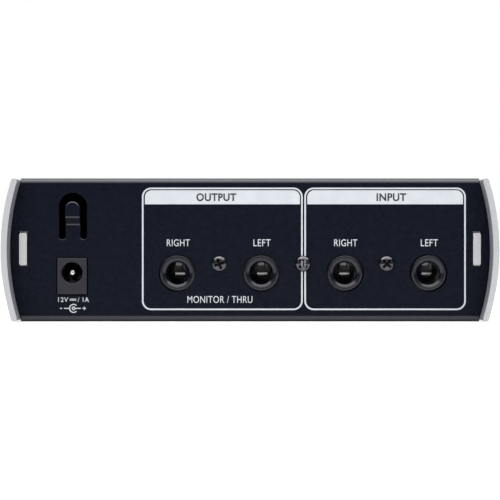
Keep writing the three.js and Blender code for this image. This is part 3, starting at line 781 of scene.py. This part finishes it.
def make_screws():
    pan = [(0, -1.2), (0.95, -1.18), (1.45, -1.09), (1.82, -0.88), (2.13, -0.62), (2.34, -0.37),
           (2.43, -0.15), (2.43, -0.05), (1.3, -0.05), (1.3, 5.6), (0.7, 6.6), (0, 6.6)]
    for index, (spot, turn) in enumerate(zip(SCREWS, (-21, 45, 45)), 1):
        at = (spot.x, REAR_Y, spot.z)
        name = f"panel_screw_{index}"
        screw = cross_screw(f"{name}_fine", pan, 1.68, 1.2, "y", at, math.radians(turn))
        dress(screw, "case", "black_screw", name)
        # Painted shade: the faces inside the cross recess go near black.
        add_look(screw, RECESS_PAINTED_SHADE, lambda face: in_recess(face, spot))
    flat = [(0, 0.1), (2.45, 0.1), (1.3, 1.4), (1.3, 5.8), (0.8, 6.4), (0, 6.4)]
    for index in (1, 2, 3, 4):
        name = f"base_screw_{index}"
        spot = centre(name)
        screw = cross_screw(f"{name}_fine", flat, 1.35, 0.8, "z", (spot.x, spot.y, 0), 0.6 * index)
        dress(screw, "case", "black_screw", name)


make_screws()

# ---------------------------------------------------------------- power inlet


def make_inlet():
    low, high = INLET_LOW, INLET_HIGH
    x, z = INLET_PIN.x, INLET_PIN.z
    face = low.y
    floor = face + 11.2
    body = block("inlet_body", low, high)
    soften(body, 0.22, 3)
    socket = [(0, face - 1), (3.4, face - 1), (3.4, face), (3.15, face + 0.25), (3.15, floor), (0, floor)]
    pin_hole = [(0, floor - 1), (1.3, floor - 1), (1.3, high.y + 1), (0, high.y + 1)]
    cut(body, lathe("socket", socket, 96, at=(x, 0, z)))
    cut(body, lathe("pin hole", pin_hole, 48, at=(x, 0, z)),
        block("tail slot", (x - 2, face + 8.8, low.z - 1), (x + 2, floor, z - 1)))
    dress(even_shading(body), "case", "inlet_plastic", "dc_inlet")

    tip = face + 1.4
    tail = high.y + 0.4
    pin = [(0, tip), (0.45, tip + 0.05), (0.8, tip + 0.25), (1.0, tip + 0.7), (1.0, floor - 1.5),
           (1.25, floor - 1.2), (1.25, tail), (0, tail)]
    made = lathe("inlet_pin_fine", pin, 48, at=(x, 0, z))
    dress(shade(made, 50), "case", "contact_metal", "dc_inlet_pin")

    path = [(face + 10.2, z - 6.3), (face + 10.2, z - 3.0), (face + 9.9, z - 2.6), (face + 9.4, z - 2.5),
            (face + 5, z - 2.25), (face + 3.2, z - 2.3), (face + 2.2, z - 2.55), (face + 1.8, z - 2.75)]
    leaf = ribbon("inlet_contact", path, x - 1.5, x + 1.5, 0.3, 0.4)
    soften(leaf, 0.06, 2)
    # Darkened nickel: painted shade on the leaf inside the inlet.
    dress(leaf, "case", "contact_metal", "dc_inlet_spring", material=LEAF_PAINTED_SHADE_METAL)


make_inlet()

# ---------------------------------------------------------------- level controls

SHAFT_TIP = 10.0
FLUTES = 20


def knob_profile(radius):
    """(radius, height above the panel, share of the flute depth) from the skirt's back to the front face."""
    body = radius * 0.92
    cap = radius * 0.87
    return [
        (radius - 0.25, 1.0, 0), (radius, 1.25, 0), (radius, 2.7, 0), (radius - 0.2, 3.0, 0), (body, 3.5, 0),
        (body, 4.0, 0.6), (body - 0.02, 4.6, 1), (cap + 0.05, 12.2, 1), (cap, 12.7, 0.6),
        (cap - 0.1, 13.1, 0), (cap - 0.3, 13.5, 0), (cap - 0.65, 13.8, 0), (cap - 1.1, 13.85, 0),
        (cap - 1.5, 13.7, 0),
        (cap - 2.6, 13.62, 0), (0, 13.6, 0),
    ]


def fluted_knob(name, radius, sides=160):
    verts, rings = [], []
    inside = [(0, SHAFT_TIP + GAP, 0), (3.3, SHAFT_TIP + GAP, 0), (3.3, 1.0, 0)]
    for r, y, share in [*inside, *knob_profile(radius)]:
        turns = 1 if r == 0 else sides
        rings.append([len(verts) + i for i in range(turns)])
        for i in range(turns):
            angle = 2 * math.pi * i / sides
            flute = 0.22 * share * (0.5 - 0.5 * math.cos(FLUTES * angle))
            verts.append(((r - flute) * math.sin(angle), y, (r - flute) * math.cos(angle)))
    faces = [face for a, b in zip(rings, rings[1:]) for face in ring_faces(a, b, sides)]
    return shade(solid(name, verts, faces), 45)


def knob_pointer(name, radius):
    """The white line let into the knob's face and down its upper side."""
    cap = radius * 0.87
    path = [(13.68, radius * 0.3), (13.7, cap - 2.4), (13.76, cap - 1.5), (13.92, cap - 1.1),
            (13.88, cap - 0.62), (13.6, cap - 0.25), (13.1, cap - 0.04), (12.4, cap + 0.05),
            (4.4, radius * 0.92 + 0.03)]
    line = ribbon(name, path, -0.45, 0.45, 0.12)
    return shade(line, 45)


def make_controls():
    for name in LEVELS:
        x, y, z = (value / MM for value in JOINTS[f"{name}_turn"]["pos_m"])
        knob_low, knob_high = span(f"{name}_knob")
        radius = (knob_high.x - knob_low.x) / 2
        body = f"{name}_control"
        to_place = Matrix.Translation(Vector((x, y, z)) * MM)
        knob, line = fluted_knob(f"{name}_cap", radius), knob_pointer(f"{name}_pointer", radius)
        for piece in (knob, line):
            piece.data.transform(to_place)
        dress(knob, body, "knob_plastic", f"{name}_knob")
        dress(line, body, "legend_print")


make_controls()

# ---------------------------------------------------------------- push buttons and lamps


def make_buttons():
    for name in BUTTONS:
        low, high = span(f"{name}_button")
        outline = rounded(low.x, high.x, low.z, high.z, [0.7] * 4, 6)
        cap = prism(f"{name}_cap", outline, FRONT_IN - 1, high.y)
        x, z = centre(f"{name}_button").xz
        fuse(cap, block("stem", (x - 1.5, low.y, z - 1.5), (x + 1.5, FRONT_IN - 0.5, z + 1.5)))
        soften(cap, 0.45, 4, 40)
        dress(cap, f"{name}_push", "button_plastic", f"{name}_button")


def make_lamps():
    for name in LEDS:
        spot = centre(name)
        low, high = span(name)
        y = FRONT_Y
        dome = arc(0, y + 0.1, 1.5, 0, 90, 12)
        profile = [(0, y - 5.6), (1.9, y - 5.6), (1.9, y - 2), (1.5, y - 1.8), *dome[:-1], (0, y + 1.6)]
        lamp = lathe(f"{name}_lens", profile, 48, at=(spot.x, 0, spot.z))
        legs = [
            block("leg", (spot.x + x, low.y, spot.z - 0.25), (spot.x + x + 0.5, y - 5, spot.z + 0.25))
            for x in (-1.2, 0.7)
        ]
        fuse(lamp, *legs)
        dress(shade(lamp, 40), "case", "lamp_lens", name)


make_buttons()
make_lamps()

# ---------------------------------------------------------------- printed legends

INK = 0.03
REAR_FACE = (REAR_Y - INK, REAR_Y)
FRONT_FACE = (FRONT_Y, FRONT_Y + INK)


def ink(outline, face=REAR_FACE):
    return prism("ink", outline, *face)


def ink_bar(x0, x1, z0, z1, face=REAR_FACE):
    return ink([(x0, z0), (x1, z0), (x1, z1), (x0, z1)], face)


def ink_ring(x, z, outer, inner, start=0, end=360, face=REAR_FACE):
    """Part of a ring. A full turn is made of two halves, so that each is a simple outline."""
    halves = [(start, (start + end) / 2), ((start + end) / 2, end)]
    return [ink(arc(x, z, outer, a, b, 24) + arc(x, z, inner, b, a, 24), face) for a, b in halves]


def ink_frame(x0, x1, z0, z1, radius, line):
    """A rounded rectangle drawn as a line, in two halves."""
    outer = rounded(x0, x1, z0, z1, [radius] * 4)
    inner = rounded(x0 + line, x1 - line, z0 + line, z1 - line, [radius - line] * 4)
    half = len(outer) // 2
    halves = [(outer[:half + 1], inner[:half + 1]), (outer[half:] + outer[:1], inner[half:] + inner[:1])]
    return [ink(a + b[::-1]) for a, b in halves]


def words(text, x, z, tall, wide=None, face="rear", lift=0.0, bold=0.0):
    """Lettering in Blender's own typeface, cut to a cap height and perhaps a width. x is its middle."""
    curve = bpy.data.curves.new(text, "FONT")
    curve.body = text
    curve.resolution_u = 6
    curve.offset = bold
    curve.space_character = 1.07
    typed = bpy.data.objects.new("typed", curve)
    bpy.context.scene.collection.objects.link(typed)
    graph = bpy.context.evaluated_depsgraph_get()
    mesh = bpy.data.meshes.new_from_object(typed.evaluated_get(graph))
    bpy.data.objects.remove(typed)
    xs = [v.co.x for v in mesh.vertices]
    ys = [v.co.y for v in mesh.vertices]
    up = tall / (max(ys) - min(ys))
    across = wide / (max(xs) - min(xs)) if wide else up
    turned = 1 if face == "rear" else -1
    y = REAR_Y - INK - lift if face == "rear" else FRONT_Y + INK + lift
    middle = (max(xs) + min(xs)) / 2
    foot = min(ys)
    for v in mesh.vertices:
        along, above = turned * (v.co.x - middle) * across, (v.co.y - foot) * up - tall / 2
        v.co = Vector((x + along, y, z + above)) * MM
    work = bmesh.new()
    work.from_mesh(mesh)
    bmesh.ops.remove_doubles(work, verts=work.verts, dist=1e-7)
    grown = bmesh.ops.extrude_face_region(work, geom=work.faces[:])
    moved = [v for v in grown["geom"] if isinstance(v, bmesh.types.BMVert)]
    bmesh.ops.translate(work, verts=moved, vec=(0, turned * INK * MM, 0))
    bmesh.ops.recalc_face_normals(work, faces=work.faces)
    work.to_mesh(mesh)
    work.free()
    made = bpy.data.objects.new("words", mesh)
    bpy.context.scene.collection.objects.link(made)
    return made


FRAME_LINE = 0.48
FRAME_LOW, FRAME_HIGH = 3.52, 40.7
BAND_LOW, BAND_HIGH = 35.64, 39.9
SMALL_CAP, LARGE_CAP = 2.1, 2.4
SIDE_Z = 23.96
TITLE_Z = 37.8
SUPPLY_X = -53.5
OUTPUT_SPAN = (-32.8, 16.0)
INPUT_SPAN = (16.5, 65.5)


def group_legend(x0, x1):
    """The outline of a stereo pair and the solid band along its top."""
    band = rounded(x0 + 0.9, x1 - 0.85, BAND_LOW, BAND_HIGH, [0, 2.1, 2.1, 0])
    return [*ink_frame(x0, x1, FRAME_LOW, FRAME_HIGH, 2.8, FRAME_LINE), ink(band)]


def supply_legend(x, z):
    """The supply's rating with its direct-current sign: a full line over a broken one."""
    pieces = [
        words("12V", x - 3.2, z, 1.45, 3.1, bold=0.012),
        words("/ 1A", x + 2.9, z, 1.45, 3.45, bold=0.012),
        ink_bar(x - 1.2, x + 0.75, z + 0.04, z + 0.28),
    ]
    pieces += [ink_bar(x - 1.2 + 0.71 * i, x - 0.67 + 0.71 * i, z - 0.34, z - 0.1) for i in range(3)]
    return pieces


def polarity_legend(x, z):
    """Centre positive: a dot in an open ring, a line out of each and the two signs."""
    line = 0.14
    return [
        *ink_ring(x, z, 1.38, 1.06, 45, 315),
        *ink_ring(x, z, 0.56, 0.24),
        ink_bar(x - 2.9, x - 1.3, z - line, z + line),
        ink_bar(x + 0.5, x + 2.2, z - line, z + line),
        ink_bar(x - 4.1, x - 3.5, z - line, z + line),
        ink_bar(x + 2.75, x + 3.75, z - line, z + line),
        ink_bar(x + 3.25 - line, x + 3.25 + line, z - 0.5, z + 0.5),
    ]


def make_rear_legend():
    pieces = [*group_legend(*OUTPUT_SPAN), *group_legend(*INPUT_SPAN)]
    widths = {"RIGHT": 7.0, "LEFT": 5.2}
    for x, text in zip(JACK_XS, ("RIGHT", "LEFT", "RIGHT", "LEFT")):
        pieces.append(words(text, x + 0.25, SIDE_Z, SMALL_CAP, widths[text]))
    pieces.append(words("MONITOR / THRU", -9.15, 6.75, 2.1, 19.7))
    pieces += supply_legend(SUPPLY_X, 6.7)
    pieces += polarity_legend(SUPPLY_X - 0.05, 4.05)
    dress(merged("rear_legend", pieces), "case", "legend_print")
    titles = [
        words("OUTPUT", -10.24, TITLE_Z, LARGE_CAP, 12.1, lift=INK, bold=0.026),
        words("INPUT", 42.9, TITLE_Z, LARGE_CAP, 9.0, lift=INK, bold=0.026),
    ]
    dress(merged("rear_titles", titles), "case", "legend_print", material=DARK_INK)


def dial_ticks(x, z, radius, count=11, sweep=300):
    """Marks round a knob, from its lowest to its highest setting."""
    ticks = []
    for i in range(count):
        angle = math.radians(90 - sweep / 2 + sweep * i / (count - 1) - 90)
        out = Vector((-math.sin(angle), math.cos(angle)))
        side = Vector((out.y, -out.x)) * 0.14
        a, b = out * (radius + 0.7), out * (radius + 1.7)
        corners = [a - side, a + side, b + side, b - side]
        ticks.append(ink([(x + c.x, z + c.y) for c in corners], FRONT_FACE))
    return ticks


def make_front_legend():
    pieces = []
    for name in LEVELS:
        x, _, z = (value / MM for value in JOINTS[f"{name}_turn"]["pos_m"])
        low, high = span(f"{name}_knob")
        pieces += dial_ticks(x, z, (high.x - low.x) / 2)
    for index, x in enumerate(CHANNEL_XS, 1):
        pieces.append(words(str(index), x + 8.2, JACK_Z - 1, 2.2, face="front"))
    for name in BUTTONS:
        spot = centre(f"{name}_button")
        pieces.append(words(name.upper(), spot.x, spot.z - 4.4, 1.5, face="front"))
    lamp = centre("power_led")
    pieces.append(words("POWER", lamp.x, lamp.z - 4, 1.5, face="front"))
    lamp = centre("mute_led")
    pieces.append(words("MUTED", lamp.x, lamp.z - 4, 1.5, face="front"))
    dress(merged("front_legend", pieces), "case", "legend_print")


make_rear_legend()
make_front_legend()

# ---------------------------------------------------------------- CAD nodes that stay

SLOT_OF = {row["node"]: row["material_slot"] for row in frame["record"]["subparts"]}
for node, piece in frame["nodes"].items():
    piece.data.materials.clear()
    piece.data.materials.append(LOOKS[SLOT_OF[node]])

# ---------------------------------------------------------------- floor, light and camera


def make_floor():
    floor = prism("floor", arc(0, 0, 1000, 0, 357.5, 143), -2, 0, "z")
    material, nodes, links = node_material("pale floor")
    shader = nodes["Principled BSDF"]
    shader.inputs["Roughness"].default_value = 0.9
    shader.inputs["Specular IOR Level"].default_value = 0.1
    shader.inputs["Emission Color"].default_value = (1, 1, 1, 1)
    shader.inputs["Emission Strength"].default_value = 0.55
    links.new(
        ramp(nodes, links, noise(nodes, links, 3), [(0.3, (0.50, 0.50, 0.50)), (0.7, (0.53, 0.53, 0.53))]),
        shader.inputs["Base Color"],
    )
    floor.data.materials.append(material)


def soft_light(name, place, aim, size, power):
    light = bpy.data.lights.new(name, "AREA")
    light.shape = "RECTANGLE"
    light.size, light.size_y = size
    light.energy = power
    lamp = bpy.data.objects.new(name, light)
    lamp.location = place
    lamp.rotation_euler = (Vector(aim) - Vector(place)).to_track_quat("-Z", "Y").to_euler()
    bpy.context.scene.collection.objects.link(lamp)


def make_lights():
    """A wide softbox overhead, one high in front, and a dim one at each corner."""
    target = (0, 0, 0.02)
    soft_light("overhead", (0, -0.08, 0.9), target, (2.0, 0.6), 22)
    soft_light("high_front", (0, -0.72, 0.8), target, (1.6, 0.5), 7.6)
    for side in (-1, 1):
        soft_light(f"front_{side}", (side * 0.75, -0.8, 0.5), target, (0.5, 0.5), 0.5)
        soft_light(f"back_{side}", (side * 0.75, 0.8, 0.5), target, (0.5, 0.5), 1.7)


def make_world():
    world = bpy.data.worlds.new("studio")
    world.use_nodes = True
    nodes, links = world.node_tree.nodes, world.node_tree.links
    nodes.clear()
    path = nodes.new("ShaderNodeLightPath")
    mix = nodes.new("ShaderNodeMixShader")
    room = nodes.new("ShaderNodeBackground")
    room.inputs["Strength"].default_value = 0.1
    room.inputs["Color"].default_value = (1, 1, 1, 1)
    backdrop = nodes.new("ShaderNodeBackground")
    backdrop.inputs["Strength"].default_value = 1.0
    backdrop.inputs["Color"].default_value = (1, 1, 1, 1)
    out = nodes.new("ShaderNodeOutputWorld")
    links.new(path.outputs["Is Camera Ray"], mix.inputs["Fac"])
    links.new(room.outputs["Background"], mix.inputs[1])
    links.new(backdrop.outputs["Background"], mix.inputs[2])
    links.new(mix.outputs["Shader"], out.inputs["Surface"])
    bpy.context.scene.world = world


def make_camera():
    """Level with the middle of the box, facing the connector panel."""
    distance = 493
    drop = 0.01
    data = bpy.data.cameras.new("camera")
    data.sensor_width = 36
    data.lens = 118.6
    data.clip_start = 0.01
    data.clip_end = 20
    camera = bpy.data.objects.new("camera", data)
    camera.location = Vector((0, CHEEK_LOW_Y - distance, MID_Z - drop)) * MM
    camera.rotation_euler = (math.radians(90), 0, 0)
    bpy.context.scene.collection.objects.link(camera)
    bpy.context.scene.camera = camera


make_floor()
make_lights()
make_world()
make_camera()
bpy.context.scene.view_settings.view_transform = "Standard"
